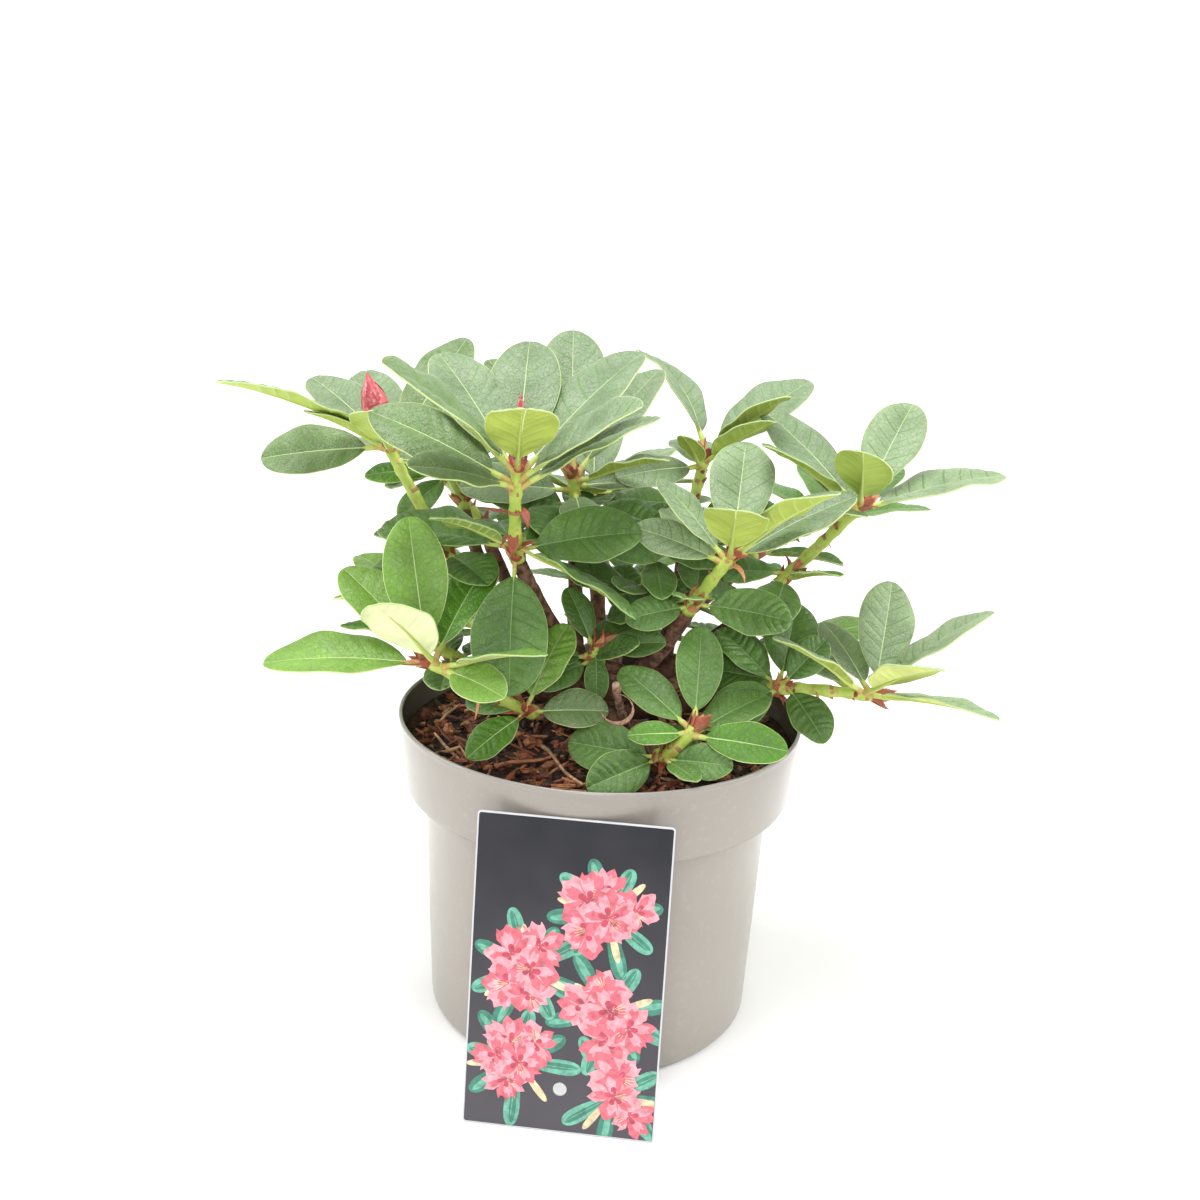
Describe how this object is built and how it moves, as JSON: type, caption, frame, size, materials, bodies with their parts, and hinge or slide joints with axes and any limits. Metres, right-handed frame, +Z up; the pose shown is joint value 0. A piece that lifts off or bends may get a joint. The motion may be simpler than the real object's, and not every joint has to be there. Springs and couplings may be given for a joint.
{
  "type": "potted rhododendron",
  "caption": "Young evergreen rhododendron: a low bush of leaf rosettes on short boughs, in a round nursery pot filled with bark compost, with a picture card leaning on the pot.",
  "frame": {"origin": "centre of the pot's flat underside", "axes": "+Z up, out of the pot; -Y to the front, where the card leans; +X to the right seen from the front"},
  "size_m": [0.3178, 0.2596, 0.2854],
  "materials": {
    "pot_plastic": "smooth satin taupe-grey moulded plastic",
    "bark_compost": "moist dark red-brown bark chips",
    "card": "glossy printed plastic card",
    "old_wood": "thin rough red-brown bark",
    "leaves": "leathery leaves, satin above and paler below"
  },
  "bodies": {
    "root": {"pot": "pot_plastic", "soil": "bark_compost", "label": "card", "trunk": "old_wood", "bough_left": "old_wood", "bough_top": "old_wood", "bough_front_left": "old_wood", "bough_front_right": "old_wood", "bough_right": "old_wood", "bough_low_right": "old_wood", "bough_front": "old_wood", "bough_middle": "old_wood", "bough_back_right": "old_wood", "bough_back_left": "old_wood", "bough_heart": "old_wood", "bough_inner_left": "old_wood", "bough_centre": "old_wood", "bough_back": "old_wood", "bough_far_right": "old_wood", "bough_low_left": "old_wood", "bough_low_back_left": "old_wood", "bough_low_back": "old_wood", "bough_low_back_right": "old_wood", "cut_twig": "old_wood", "foliage_top": "leaves", "foliage_left": "leaves", "foliage_front_left": "leaves", "foliage_front_right": "leaves", "foliage_right": "leaves", "foliage_low_right": "leaves", "foliage_front": "leaves", "foliage_middle": "leaves", "foliage_back_right": "leaves", "foliage_centre": "leaves", "foliage_heart": "leaves", "foliage_inner_left": "leaves", "foliage_back_left": "leaves", "foliage_back": "leaves", "foliage_far_right": "leaves", "foliage_low_left": "leaves", "foliage_low_back_left": "leaves", "foliage_low_back": "leaves", "foliage_low_back_right": "leaves"}
  },
  "joints": []
}
